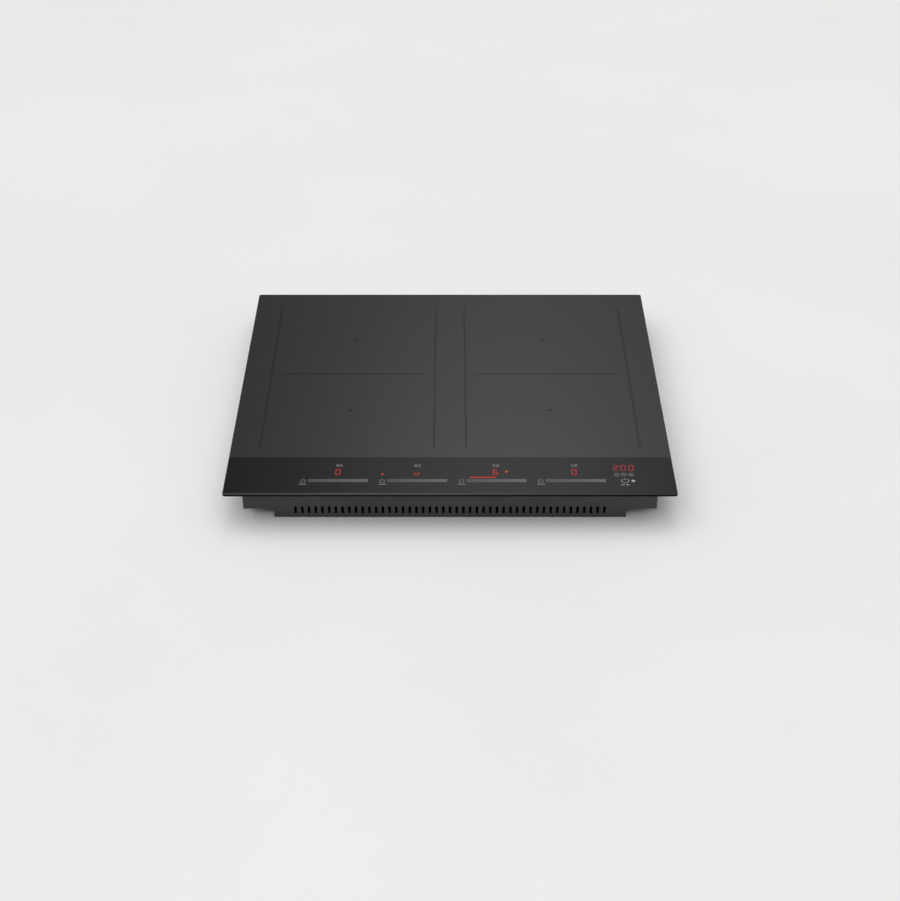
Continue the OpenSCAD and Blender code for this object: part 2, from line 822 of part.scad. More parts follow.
// Wires from the terminal block round behind the fans to the filter board, and two pairs from
// there to the power boards
module mains_wires() {
    wire_r = 1.4;
    foot_z = board_z + board_t;
    behind_y = 234;
    color([0.35, 0.2, 0.1]) {
        for (i = [-1 : 1]) {
            z = wire_exit_z + 3.2 * i;
            end_y = 226 - 4 * i;
            wire([[block_x + 5 * way_w, block_y + 14, z], [-120, block_y + 14, z],
                  [-120, behind_y, z], [121, behind_y, z], [121, end_y, z],
                  [121, end_y, foot_z]], wire_r);
        }
        for (i = [0, 1]) {
            near = 122 + 6 * i;
            far = 150 + 6 * i;
            z = 14 + 4 * i;
            wire([[far, 140, foot_z], [far, 140, z], [far, 113, z], [far, 113, foot_z]], wire_r);
            wire([[near, 140, foot_z], [near, 140, z], [near, 124, z],
                  [-near, 124, z], [-near, 113, z], [-near, 113, foot_z]], wire_r);
        }
    }
}

// ---- Hold-down clamps ----

// Places the origin under each clamp's screw, on the base plane
module at_clamps() {
    for (s = SIDES, y = [clamp_front_y, clamp_rear_y]) translate([s * clamp_x, y, 0]) children();
}

module clamp_screws() {
    color([0.66, 0.66, 0.68]) at_clamps() {
        difference() {
            translate([0, 0, 1.2]) cylinder(r = 4.2, h = clamp_z - 0.1 - 1.2);
            for (a = [0, 90]) rotate(a) translate([-2.4, -0.5, 0]) cube([4.8, 1, 2.4]);
        }
        translate([0, 0, 3]) cylinder(r = pivot_r, h = margin_h + 3);
        translate([0, 0, clamp_z + clamp_t + 0.1])
            cylinder(r = 4.2, h = margin_h - clamp_z - clamp_t - 0.1);
        translate([0, 0, margin_h + sheet_t]) cylinder(r = 3.9, h = 2.8, $fn = 6);
    }
}

// A clamp at (s * clamp_x, y), parked with its arm towards the middle of the tray's side
module clamp(s, y) {
    towards = y < 0 ? 1 : -1;
    color([0.7, 0.7, 0.72]) translate([s * clamp_x, y, clamp_z]) difference() {
        union() {
            cylinder(r = clamp_w / 2, h = clamp_t);
            translate([-clamp_w / 2, towards > 0 ? 0 : -clamp_reach, 0])
                cube([clamp_w, clamp_reach, clamp_t]);
            // The turned-up tip that grips the worktop
            translate([-clamp_w / 2, towards * (clamp_reach - 1) - 1, 0])
                cube([clamp_w, clamp_t, clamp_tooth - clamp_z]);
        }
        translate([0, 0, -1]) cylinder(r = pivot_r + pivot_clear, h = 10);
    }
}

glass_top();
zone_marks();
worktop_seal();
glass_frame();
frame_adhesive();
base_tray();
tray_front_panel();
tray_rear_panel();
chassis_screws();
support_rails();
deck_springs(LEFT);  // deck_springs_left
deck_springs(RIGHT);  // deck_springs_right
coil_leads(LEFT);  // coil_leads_left
coil_leads(RIGHT);  // coil_leads_right
board_carriers();
power_board(LEFT);  // power_board_left
power_board(RIGHT);  // power_board_right
heatsinks();
transistors();
capacitors();
chokes();
fan_housing(LEFT);  // fan_housing_left
fan_housing(RIGHT);  // fan_housing_right
fan_motors();
filter_board();
terminal_box();
terminal_block();
cable_clamp();
cable_gland();
terminal_cover();
control_holder();
control_board();
digit_displays();
level_lights();
touch_pads();
ribbon_cable();
mains_wires();
fan_rotor(LEFT);  // fan_rotor_left
fan_rotor(RIGHT);  // fan_rotor_right
deck_plate(LEFT);  // deck_plate_left
deck_plate(RIGHT);  // deck_plate_right
ferrite_bars(LEFT);  // ferrite_bars_left
ferrite_bars(RIGHT);  // ferrite_bars_right
heat_sensors(LEFT);  // heat_sensors_left
heat_sensors(RIGHT);  // heat_sensors_right
coil_insulation(LEFT);  // coil_insulation_left
coil_insulation(RIGHT);  // coil_insulation_right
coil_carrier(LEFT, front_coil_y);  // coil_carrier_front_left
coil_carrier(LEFT, rear_coil_y);  // coil_carrier_rear_left
coil_carrier(RIGHT, front_coil_y);  // coil_carrier_front_right
coil_carrier(RIGHT, rear_coil_y);  // coil_carrier_rear_right
coil_winding(LEFT, front_coil_y);  // coil_winding_front_left
coil_winding(LEFT, rear_coil_y);  // coil_winding_rear_left
coil_winding(RIGHT, front_coil_y);  // coil_winding_front_right
coil_winding(RIGHT, rear_coil_y);  // coil_winding_rear_right
clamp_screws();
clamp(LEFT, clamp_front_y);  // clamp_front_left
clamp(RIGHT, clamp_front_y);  // clamp_front_right
clamp(LEFT, clamp_rear_y);  // clamp_rear_left
clamp(RIGHT, clamp_rear_y);  // clamp_rear_right
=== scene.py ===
import json
import math

import bmesh
import bpy
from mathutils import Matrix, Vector


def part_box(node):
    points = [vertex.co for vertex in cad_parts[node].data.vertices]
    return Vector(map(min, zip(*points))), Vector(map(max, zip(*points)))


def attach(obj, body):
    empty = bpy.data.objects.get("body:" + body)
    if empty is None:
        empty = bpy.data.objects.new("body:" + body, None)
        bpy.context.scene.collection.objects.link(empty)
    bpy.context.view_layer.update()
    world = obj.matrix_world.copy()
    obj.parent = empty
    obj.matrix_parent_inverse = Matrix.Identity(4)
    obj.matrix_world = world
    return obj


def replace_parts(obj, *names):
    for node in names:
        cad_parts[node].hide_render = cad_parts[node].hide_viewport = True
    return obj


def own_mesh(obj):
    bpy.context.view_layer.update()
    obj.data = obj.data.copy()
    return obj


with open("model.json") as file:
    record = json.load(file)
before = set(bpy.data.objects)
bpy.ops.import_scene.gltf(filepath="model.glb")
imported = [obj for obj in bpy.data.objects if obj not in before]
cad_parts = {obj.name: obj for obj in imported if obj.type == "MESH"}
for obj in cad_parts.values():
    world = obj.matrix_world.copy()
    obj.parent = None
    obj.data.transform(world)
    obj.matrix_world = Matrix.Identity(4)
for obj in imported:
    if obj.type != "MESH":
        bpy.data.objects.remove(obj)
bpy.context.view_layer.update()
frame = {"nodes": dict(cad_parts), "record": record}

# Everything is in metres, in the CAD model's frame.
MM = 0.001
SAME = 1e-7                # places no further apart than this count as one


# ---- Places, from the frame ----

GLASS_LOW, GLASS_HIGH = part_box("glass_top")
FRONT = GLASS_LOW.y
TOP = GLASS_HIGH.z
BOARD_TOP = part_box("power_board_left")[1].z

# The glass
CORNER = 3 * MM
BEVEL_RUN = CORNER         # the bevel ends where the front corners' arcs do
BEVEL_DROP = 1.2 * MM
ARRIS = 0.4 * MM
BAND = 84.6 * MM           # depth of the control band, from the front edge
PRINT = 0.06 * MM          # thickness of what is printed on the glass
SKIN = TOP - PRINT         # the bare glass, which the print stands on

# The zones
ZONE_X = 141 * MM
LINE_X = 119 * MM          # from a zone's middle to the line beside it
LINE_W = 3 * MM
ZONE_HALF = 95.5 * MM      # half the distance between the front and rear zones
SPLIT_Y = FRONT + 296 * MM
LINE_L = 382 * MM
SPLIT_L = 210 * MM
DOT_R = 3.2 * MM

# The controls
SLIDERS = [(-149 + 105.4 * i) * MM for i in range(4)]
SLIDER_Y = FRONT + 30.6 * MM
SLIDER_L = 80 * MM
SLIDER_W = 7 * MM
DIGIT_Y = FRONT + 50 * MM
LABEL_Y = FRONT + 65 * MM
LEVEL_Y = FRONT + 38 * MM
TIMER_X = 232.7 * MM
TIMER_Y = FRONT + 59.5 * MM
DIGIT_W = 7 * MM
DIGIT_H = 13 * MM
DIGIT_PITCH = 10.5 * MM
DIGIT_SHIFT = 1.1 * MM     # from a slider's middle left to its digit
KEY_Y = FRONT + 44.2 * MM
KEY_R = 3.3 * MM
KEY_PITCH = 9.5 * MM
POWER_X = TIMER_X + 0.5 * MM
POWER_Y = FRONT + 30 * MM
LEVEL_LOW = 26.7 * MM      # the level light bar's two ends
LEVEL_HIGH = 61.4 * MM
RED_SIGNAL = (-90.2 * MM, FRONT + 45 * MM)
ORANGE_SIGNAL = (75.8 * MM, FRONT + 50.8 * MM)
WHITE_SIGNAL = (243.8 * MM, FRONT + 30 * MM)


# ---- Meshes ----

def mesh_from(name, bm, materials):
    bmesh.ops.recalc_face_normals(bm, faces=bm.faces)
    mesh = bpy.data.meshes.new(name)
    bm.to_mesh(mesh)
    bm.free()
    for material in materials:
        mesh.materials.append(material.data)
    return mesh


def smooth_by_angle(mesh, degrees=35):
    """Shades the mesh smooth, apart from edges sharper than this."""
    mesh.shade_smooth()
    mesh.set_sharp_from_angle(angle=math.radians(degrees))


def link(name, data):
    made = bpy.data.objects.new(name, data)
    bpy.context.scene.collection.objects.link(made)
    return made


def add_piece(name, bm, slot, *materials, smooth=None):
    """A piece on the chassis, in the looks given, which the mesh's faces number from 0."""
    mesh = mesh_from(name, bm, materials)
    if smooth:
        smooth_by_angle(mesh, smooth)
    piece = link(name, mesh)
    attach(piece, "chassis")
    return piece


def arc(x, y, r, start, end, steps):
    """Points on an arc, from start to end degrees."""
    angles = [math.radians(start + (end - start) * i / steps) for i in range(steps + 1)]
    return [(x + r * math.cos(a), y + r * math.sin(a)) for a in angles]


def disc(x, y, r, steps=24):
    return arc(x, y, r, 0, 360, steps)[:-1]


def bar(x, y, w, h, r=0.0):
    """A rectangle about (x, y), with round corners where r is given."""
    if r <= 0:
        return [(x - w / 2, y - h / 2), (x + w / 2, y - h / 2),
                (x + w / 2, y + h / 2), (x - w / 2, y + h / 2)]
    points = []
    for cx, cy, a in ((1, -1, -90), (1, 1, 0), (-1, 1, 90), (-1, -1, 180)):
        points += arc(x + cx * (w / 2 - r), y + cy * (h / 2 - r), r, a, a + 90, 5)
    return points


def stroke(a, b, width):
    """A straight stroke from a to b."""
    along = Vector((b[0] - a[0], b[1] - a[1])).normalized()
    side = Vector((-along.y, along.x)) * width / 2
    return [(a[0] + side.x, a[1] + side.y), (a[0] - side.x, a[1] - side.y),
            (b[0] - side.x, b[1] - side.y), (b[0] + side.x, b[1] + side.y)]


def between(inner, outer):
    """What lies between two rows of points, as four-sided shapes."""
    return [[inner[i], outer[i], outer[i + 1], inner[i + 1]] for i in range(len(inner) - 1)]


def ring(x, y, r, width, start=0.0, end=360.0, steps=28):
    return between(arc(x, y, r - width / 2, start, end, steps),
                   arc(x, y, r + width / 2, start, end, steps))


def hollow_bar(x, y, w, h, width):
    inner, outer = bar(x, y, w - 2 * width, h - 2 * width), bar(x, y, w, h)
    return between(inner + inner[:1], outer + outer[:1])


def raised(name, shapes, slot, material):
    """Flat shapes as thin solids that stand on the glass. Shapes that share an edge join."""
    bm = bmesh.new()
    for shape in shapes:
        bm.faces.new([bm.verts.new((x, y, SKIN)) for x, y in shape])
    bmesh.ops.remove_doubles(bm, verts=bm.verts, dist=SAME)
    # By hand, because bmesh's extrusion puts its faces in another order each time
    faces, rim = bm.faces[:], [edge.verts[:] for edge in bm.edges if edge.is_boundary]
    above = {point: bm.verts.new((point.co.x, point.co.y, TOP)) for point in bm.verts[:]}
    for face in faces:
        bm.faces.new([above[point] for point in face.verts])
    for a, b in rim:
        bm.faces.new((a, b, above[b], above[a]))
    return add_piece(name, bm, slot, material)


def loft(bm, rows, closed=False):
    """Faces along a row of outlines: a loop when closed, and otherwise a bar with capped ends."""
    n = len(rows[0])
    following = rows[1:] + rows[:1] if closed else rows[1:]
    for row, after in zip(rows, following):
        for i in range(n):
            j = (i + 1) % n
            bm.faces.new((row[i], row[j], after[j], after[i]))
    if not closed:
        bm.faces.new(rows[0][::-1])
        bm.faces.new(rows[-1])


def add_tube(bm, path, r, sides=14):
    """A round tube along a path, whose section is carried along without twisting."""
    side = (path[1] - path[0]).orthogonal()
    rows = []
    for i, point in enumerate(path):
        run = (path[min(i + 1, len(path) - 1)] - path[max(i - 1, 0)]).normalized()
        side = (side - run * side.dot(run)).normalized()
        up = run.cross(side)
        rows.append([bm.verts.new(point + side * a + up * b) for a, b in disc(0, 0, r, sides)])
    loft(bm, rows)


# ---- Materials ----

class Material:
    """A procedural material: a Principled shader, and short calls that add nodes to it."""

    def __init__(self, name, color, roughness=0.5, metallic=0.0, **inputs):
        self.data = bpy.data.materials.new(name)
        self.data.use_nodes = True
        self.nodes = self.data.node_tree.nodes
        self.links = self.data.node_tree.links
        self.shader = self.nodes["Principled BSDF"]
        self.color = (*color, 1.0)
        self.shader.inputs["Base Color"].default_value = self.color
        self.shader.inputs["Roughness"].default_value = roughness
        self.shader.inputs["Metallic"].default_value = metallic
        for key, value in inputs.items():
            self.shader.inputs[key.replace("_", " ")].default_value = value
        self.coordinates = self.nodes.new("ShaderNodeTexCoord").outputs["Object"]
        self.normal = None

    def node(self, kind, **inputs):
        made = self.nodes.new("ShaderNode" + kind)
        for key, value in inputs.items():
            made.inputs[key.replace("_", " ")].default_value = value
        return made

    def stretched(self, x=1.0, y=1.0, z=1.0):
        """The object's coordinates, scaled along each axis."""
        mapping = self.node("Mapping")
        mapping.inputs["Scale"].default_value = (x, y, z)
        self.links.new(self.coordinates, mapping.inputs["Vector"])
        return mapping.outputs["Vector"]

    def noise(self, scale, detail, vector=None):
        texture = self.node("TexNoise", Scale=scale, Detail=detail, Roughness=0.55)
        self.links.new(vector or self.coordinates, texture.inputs["Vector"])
        return texture.outputs["Fac"]

    def cells(self, scale, distance="EUCLIDEAN", output="Distance"):
        texture = self.node("TexVoronoi", Scale=scale)
        texture.distance = distance
        self.links.new(self.coordinates, texture.inputs["Vector"])
        return texture.outputs[output]

    def waves(self, scale, direction="X", vector=None, distortion=0.0):
        texture = self.node("TexWave", Scale=scale, Distortion=distortion)
        texture.bands_direction = direction
        self.links.new(vector or self.coordinates, texture.inputs["Vector"])
        return texture.outputs["Fac"]

    def ramp(self, source, stops):
        """Maps a value to a value: stops is ((from, to), (from, to))."""
        made = self.node("MapRange")
        (a, low), (b, high) = stops
        for key, value in (("From Min", a), ("From Max", b), ("To Min", low), ("To Max", high)):
            made.inputs[key].default_value = value
        self.links.new(source, made.inputs["Value"])
        return made.outputs["Result"]

    def choose(self, mask, first, second):
        """The first value where the mask is 0, and the second where it is 1."""
        mix = self.node("Mix")
        for key, source in (("Factor", mask), ("A", first), ("B", second)):
            self.links.new(source, mix.inputs[key])
        return mix.outputs["Result"]

    def paint(self, source, other, low=0.0, high=1.0):
        """Blends the colour so far with another one, where source goes from low to high."""
        mix = self.node("Mix")
        mix.data_type = "RGBA"
        color_in = self.shader.inputs["Base Color"]
        if color_in.is_linked:
            self.links.new(color_in.links[0].from_socket, mix.inputs["A"])
        else:
            mix.inputs["A"].default_value = self.color
        mix.inputs["B"].default_value = (*other, 1.0)
        self.links.new(self.ramp(source, ((low, 0.0), (high, 1.0))), mix.inputs["Factor"])
        self.links.new(mix.outputs["Result"], color_in)
        return self

    def rough(self, source, low, high, start=0.3, end=0.7):
        """Varies the roughness from low to high with source."""
        self.links.new(self.ramp(source, ((start, low), (end, high))),
                       self.shader.inputs["Roughness"])
        return self

    def bump(self, source, depth, strength=1.0):
        made = self.node("Bump", Strength=strength, Distance=depth)
        self.links.new(source, made.inputs["Height"])
        if self.normal:
            self.links.new(self.normal, made.inputs["Normal"])
        self.normal = made.outputs["Normal"]
        self.links.new(self.normal, self.shader.inputs["Normal"])
        return self


def ceramic_glass(name, color, shine=0.5):
    """Polished dark glass with faint wiping marks and a fine speckle in its print."""
    m = Material(name, color, roughness=0.12, IOR=1.52, Specular_IOR_Level=shine)
    m.paint(m.noise(2600, 2), tuple(1.3 * c for c in color), 0.45, 0.75)
    m.rough(m.noise(5, 4, m.stretched(1.0, 2.2, 1.0)), 0.1, 0.14)
    return m


def ground_glass(name, color):
    """The glass's unpolished side, which hardly shines."""
    m = Material(name, color, roughness=0.5, Specular_IOR_Level=0.03)
    m.rough(m.noise(500, 3), 0.42, 0.58)
    m.bump(m.noise(3000, 2), 0.00003, 0.4)
    return m


def enamel(name, color, roughness, shine=0.5):
    """Fired print, slightly uneven."""
    m = Material(name, color, roughness=roughness, Specular_IOR_Level=shine)
    m.paint(m.noise(1800, 2), tuple(0.8 * c for c in color), 0.4, 0.75)
    return m


def glow(name, color, strength):
    """A light behind the glass, under its slightly uneven surface."""
    m = Material(name, (0.02, 0.004, 0.003), roughness=0.25, Specular_IOR_Level=0.3)
    m.shader.inputs["Emission Color"].default_value = (*color, 1.0)
    m.shader.inputs["Emission Strength"].default_value = strength
    m.rough(m.noise(900, 2), 0.2, 0.3)
    return m


def powder_coat(name, color):
    """Fine-grained powder coat on steel, worn a little paler in places."""
    m = Material(name, color, roughness=0.5)
    m.paint(m.noise(14, 4), tuple(1.35 * c for c in color), 0.4, 0.75)
    m.rough(m.noise(60, 3), 0.42, 0.56)
    m.bump(m.noise(2200, 2), 0.00004, 0.5)
    return m


def zinc(name, color, roughness=0.34, spangle=240, contrast=0.28):
    """Zinc-coated steel with spangles and faint scratches."""
    m = Material(name, color, roughness=roughness, metallic=1.0)
    m.paint(m.cells(spangle, output="Color"), tuple((1 - contrast) * c for c in color), 0.2, 0.9)
    m.rough(m.noise(300, 3), roughness - 0.08, roughness + 0.12)
    m.bump(m.noise(1500, 2, m.stretched(1, 9, 9)), 0.00002, 0.35)
    return m


def brushed(name, color, along):
    """Sheet metal with fine drawn lines along one axis."""
    scale = {"X": (0.02, 1, 1), "Y": (1, 0.02, 1), "Z": (1, 1, 0.02)}[along]
    m = Material(name, color, roughness=0.3, metallic=1.0)
    lines = m.noise(2400, 3, m.stretched(*scale))
    m.paint(lines, tuple(0.78 * c for c in color), 0.4, 0.75)
    m.rough(lines, 0.24, 0.42)
    m.bump(lines, 0.00002, 0.4)
    return m


def moulded(name, color, roughness=0.55):
    """Moulded plastic with a fine grain and slight flow marks."""
    m = Material(name, color, roughness=roughness)
    m.paint(m.noise(18, 3), tuple(0.86 * c for c in color), 0.4, 0.75)
    m.rough(m.noise(90, 3), roughness - 0.07, roughness + 0.07)
    m.bump(m.cells(1400), 0.00003, 0.4)
    return m


def rubber(name, color, pores=900):
    """Rubber or foam with small pores and a dusty bloom."""
    m = Material(name, color, roughness=0.8)
    m.paint(m.noise(40, 4), tuple(1.7 * c + 0.004 for c in color), 0.45, 0.8)
    m.rough(m.noise(200, 3), 0.7, 0.9)
    m.bump(m.cells(pores), 0.00012, 0.6)
    return m


def circuit(name, color):
    """Solder mask over copper tracks, which run along X or Y by patches, and solder pads."""
    m = Material(name, color, roughness=0.28)
    patches = m.cells(60, "CHEBYCHEV", "Color")
    turned = m.ramp(patches, ((0.48, 0.0), (0.5, 1.0)))
    tracks = m.choose(turned, m.waves(130, "X"), m.waves(130, "Y"))
    m.paint(tracks, tuple(1.9 * c + 0.01 for c in color), 0.5, 0.65)
    m.paint(m.cells(170), (0.55, 0.56, 0.5), 0.16, 0.1)
    m.rough(m.noise(500, 2), 0.24, 0.38)
    m.bump(tracks, 0.00004, 0.5)
    return m


def populated_board(name, board, parts):
    """A circuit board whose mesh also holds its parts, which are all that stands above it."""
    m = circuit(name, board)
    place = m.node("SeparateXYZ")
    m.links.new(m.coordinates, place.inputs["Vector"])
    m.paint(place.outputs["Z"], parts, BOARD_TOP, BOARD_TOP + 0.1 * MM)
    return m


def litz(name, color):
    """Stranded enamelled wire: fine strands that run round the winding with a slight twist."""
    m = Material(name, color, roughness=0.34, metallic=1.0)
    strands = m.waves(420, "DIAGONAL", m.stretched(0.2, 0.2, 2.0), distortion=1.5)
    m.paint(strands, tuple(0.45 * c for c in color), 0.3, 0.9)
    m.rough(m.noise(700, 2), 0.28, 0.44)
    m.bump(strands, 0.0002, 0.7)
    return m


def enamelled(name, color):
    """Solid copper wire under a clear enamel that is a little darker in places."""
    m = Material(name, color, roughness=0.26, metallic=1.0)
    m.paint(m.noise(260, 3), tuple(0.6 * c for c in color), 0.4, 0.75)
    m.rough(m.noise(900, 2), 0.2, 0.34)
    m.bump(m.noise(1600, 2), 0.00002, 0.4)
    return m


def laminate(name, color):
    """Pressed mica sheet: pale, with darker overlapping flakes."""
    m = Material(name, color, roughness=0.42)
    m.paint(m.cells(140, output="Color"), tuple(0.78 * c for c in color), 0.1, 0.9)
    m.paint(m.noise(500, 4), tuple(0.6 * c for c in color), 0.55, 0.8)
    m.rough(m.noise(160, 3), 0.3, 0.5)
    m.bump(m.cells(200), 0.00004, 0.4)
    return m


def granular(name, color):
    """Sintered ferrite: dark, with a fine glitter of grains."""
    m = Material(name, color, roughness=0.48)
    m.paint(m.cells(1600, output="Color"), tuple(2.2 * c for c in color), 0.6, 1.0)
    m.rough(m.noise(800, 2), 0.38, 0.6)
    m.bump(m.cells(1600), 0.00005, 0.5)
    return m


def ribbon(name, color):
    """Flat cable: parallel cores."""
    m = Material(name, color, roughness=0.45)
    cores = m.waves(250, "X")
    m.paint(cores, tuple(0.55 * c for c in color), 0.5, 0.95)
    m.bump(cores, 0.0003, 0.8)
    m.rough(m.noise(300, 2), 0.4, 0.52)
    return m


# The look of each material slot in the record
LOOKS = {
    "ceramic_glass": ceramic_glass("glass_field", (0.018, 0.018, 0.0182)),
    "zone_print": enamel("print_dark", (0.006, 0.006, 0.0065), 0.2),
    "foam_seal": rubber("foam_seal", (0.012, 0.012, 0.012)),
    "frame_steel": powder_coat("frame_coat", (0.02, 0.02, 0.021)),
    "silicone": rubber("silicone", (0.01, 0.01, 0.01), 300),
    "tray_steel": powder_coat("tray_coat", (0.03, 0.03, 0.032)),
    "screw_steel": zinc("screw_zinc", (0.55, 0.55, 0.56), 0.28, 1800, 0.16),
    "galvanised_steel": zinc("galvanised", (0.5, 0.51, 0.52)),
    "spring_steel": brushed("spring_steel", (0.58, 0.58, 0.59), "Y"),
    "lead_sleeve": rubber("lead_sleeve", (0.33, 0.02, 0.012), 1200),
    "dark_plastic": moulded("dark_plastic", (0.022, 0.023, 0.026)),
    "circuit_board": circuit("circuit_board", (0.012, 0.09, 0.04)),
    "heatsink_aluminium": brushed("heatsink", (0.6, 0.61, 0.62), "Y"),
    "component_black": moulded("component_black", (0.012, 0.012, 0.012), 0.45),
    "capacitor_yellow": moulded("capacitor_shell", (0.55, 0.38, 0.05), 0.4),
    "choke_wire": enamelled("choke_wire", (0.6, 0.23, 0.06)),
    "fan_plastic": moulded("fan_plastic", (0.015, 0.015, 0.016), 0.5),
    "motor_steel": brushed("motor_steel", (0.36, 0.36, 0.37), "Z"),
    "filter_parts": populated_board("filter_parts", (0.012, 0.09, 0.04), (0.16, 0.17, 0.19)),
    "terminal_plastic": moulded("terminal_plastic", (0.68, 0.67, 0.6), 0.45),
    "gland_rubber": rubber("gland_rubber", (0.01, 0.01, 0.01), 700),
    "cover_plastic": moulded("cover_plastic", (0.028, 0.029, 0.032), 0.5),
    "display_red": moulded("display_window", (0.05, 0.006, 0.005), 0.2),
    "light_bar": moulded("light_bar", (0.3, 0.02, 0.014), 0.3),
    "touch_foam": rubber("touch_foam", (0.05, 0.05, 0.054), 1100),
    "ribbon_grey": ribbon("ribbon_grey", (0.42, 0.42, 0.4)),
    "wire_brown": rubber("wire_brown", (0.12, 0.04, 0.014), 1200),
    "deck_aluminium": brushed("deck_aluminium", (0.6, 0.61, 0.62), "X"),
    "ferrite": granular("ferrite", (0.03, 0.03, 0.032)),
    "sensor_ceramic": moulded("sensor_ceramic", (0.72, 0.71, 0.67), 0.35),
    "mica_sheet": laminate("mica_sheet", (0.62, 0.59, 0.48)),
    "carrier_plastic": moulded("carrier_plastic", (0.55, 0.53, 0.45), 0.5),
    "litz_wire": litz("litz_wire", (0.62, 0.27, 0.09)),
    "clamp_steel": zinc("clamp_zinc", (0.52, 0.52, 0.53), 0.3, 1400, 0.2),
}
BAND_GLASS = ceramic_glass("glass_band", (0.0045, 0.0045, 0.0047), 0.33)
BEVEL_GLASS = ceramic_glass("glass_bevel", (0.004, 0.004, 0.0042), 0.25)
# The sides are darker than ground glass would be: painted shade for the shadow gap under the
# glass's front edge.
SHADED_EDGE_GLASS = ground_glass("glass_edge_painted_shade", (0.002, 0.002, 0.0022))
PRINT_DOT = enamel("print_dot", (0.0075, 0.0075, 0.0075), 0.2, 0.38)
PRINT_GREY = enamel("print_grey", (0.13, 0.132, 0.135), 0.28)
PRINT_PALE = enamel("print_pale", (0.205, 0.213, 0.205), 0.28)
RED_LIGHT = glow("red_light", (1.0, 0.03, 0.022), 0.5)
DIM_LIGHT = glow("dim_light", (1.0, 0.07, 0.055), 0.36)
ORANGE_LIGHT = glow("orange_light", (1.0, 0.14, 0.04), 0.4)
WHITE_LIGHT = glow("white_light", (0.95, 0.95, 1.0), 0.35)


# CAD nodes whose edges are rounded a little, with each one's radius in millimetres
EDGE_ROUNDING = {
    "base_tray": 0.3, "glass_frame": 0.3,
    "terminal_cover": 0.3, "cable_gland": 0.3, "chassis_screws": 0.12,
    "clamp_screws": 0.15, "clamp_front_left": 0.3, "clamp_front_right": 0.3,
    "clamp_rear_left": 0.3, "clamp_rear_right": 0.3,
}


def round_edges(piece, radius):
    """Welds the imported mesh's split corners and bevels its edges, as modifiers."""
    weld = piece.modifiers.new("weld", "WELD")
    weld.merge_threshold = 0.01 * MM
    bevel = piece.modifiers.new("round", "BEVEL")
    bevel.width = radius * MM
    bevel.segments = 2
    bevel.limit_method = "ANGLE"
    bevel.angle_limit = math.radians(40)
    bevel.use_clamp_overlap = True
    weighted = piece.modifiers.new("flat faces", "WEIGHTED_NORMAL")
    weighted.mode = "FACE_AREA"
    weighted.weight = 100
    weighted.keep_sharp = False


def dress_cad_nodes():
    """Gives every CAD node the look of its material slot."""
    slots = {s["node"]: s["material_slot"] for s in frame["record"]["subparts"]}
    for name, piece in frame["nodes"].items():
        piece.data.materials.clear()
        piece.data.materials.append(LOOKS[slots[name]].data)
        smooth_by_angle(piece.data)
    for name, radius in EDGE_ROUNDING.items():
        round_edges(frame["nodes"][name], radius)


# ---- The glass ----

def glass_outline(inset):
    """Points round the glass, shrunk by inset, and one on each side where the band ends."""
    side = GLASS_HIGH.x - inset
    x, front, rear = GLASS_HIGH.x - CORNER, FRONT + CORNER, GLASS_HIGH.y - CORNER
    r = CORNER - inset
    points = arc(x, front, r, -90, 0, 8)
    points.append((side, FRONT + BAND))
    points += arc(x, rear, r, 0, 90, 8)
    points += arc(-x, rear, r, 90, 180, 8)
    points.append((-side, FRONT + BAND))
    points += arc(-x, front, r, 180, 270, 8)
    return points


def top_outline():
    """The outline of the glass's skin, whose front side is the straight top of the bevel."""
    side, bevel_end = GLASS_HIGH.x - ARRIS, FRONT + BEVEL_RUN
    return [(x, y) if y > bevel_end else (math.copysign(side, x), bevel_end)
            for x, y in glass_outline(ARRIS)]


def bevel_height(y):
    """Height of the glass's skin at y, with the front bevel cut off."""
    return SKIN - BEVEL_DROP * max(0.0, 1 - (y - FRONT) / BEVEL_RUN)


def make_glass():
    """The glass top: ground sides, polished arrises and front bevel, and a split at the band."""
    low = GLASS_LOW.z
    rows = [
        [(x, y, low) for x, y in glass_outline(ARRIS)],
        [(x, y, low + ARRIS) for x, y in glass_outline(0)],
        [(x, y, min(SKIN - ARRIS, bevel_height(y))) for x, y in glass_outline(0)],
        [(x, y, SKIN) for x, y in top_outline()],
    ]
    field, band, bevel, edge = range(4)
    bm = bmesh.new()
    loops = [[bm.verts.new(p) for p in row] for row in rows]
    n = len(loops[0])
    for lower, upper, look in zip(loops, loops[1:], (edge, edge, bevel)):
        for i in range(n):
            j = (i + 1) % n
            face = bm.faces.new((lower[i], lower[j], upper[j], upper[i]))
            face.material_index = look
    bm.faces.new(loops[0][::-1]).material_index = edge
    top = loops[-1]
    right, left = [i for i, v in enumerate(top) if abs(v.co.y - FRONT - BAND) < SAME]
    bm.faces.new(top[left:] + top[:right + 1]).material_index = band
    bm.faces.new(top[right:left + 1]).material_index = field
    bmesh.ops.remove_doubles(bm, verts=bm.verts, dist=SAME)
    glass = add_piece("glass_panel", bm, "ceramic_glass", LOOKS["ceramic_glass"], BAND_GLASS,
                      BEVEL_GLASS, SHADED_EDGE_GLASS, smooth=15)
    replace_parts(glass, "glass_top")


# ---- What is printed on the glass ----

def make_zone_print():
    lines, dots = [], []
    for side in (-1, 1):
        x = side * ZONE_X
        lines += [bar(x + end * LINE_X, SPLIT_Y, LINE_W, LINE_L) for end in (-1, 1)]
        lines.append(bar(x, SPLIT_Y, SPLIT_L, LINE_W))
        dots += [disc(x, SPLIT_Y + end * ZONE_HALF, DOT_R) for end in (-1, 1)]
    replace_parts(raised("zone_lines", lines, "zone_print", LOOKS["zone_print"]), "zone_marks")
    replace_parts(raised("zone_dots", dots, "zone_print", PRINT_DOT), "zone_marks")


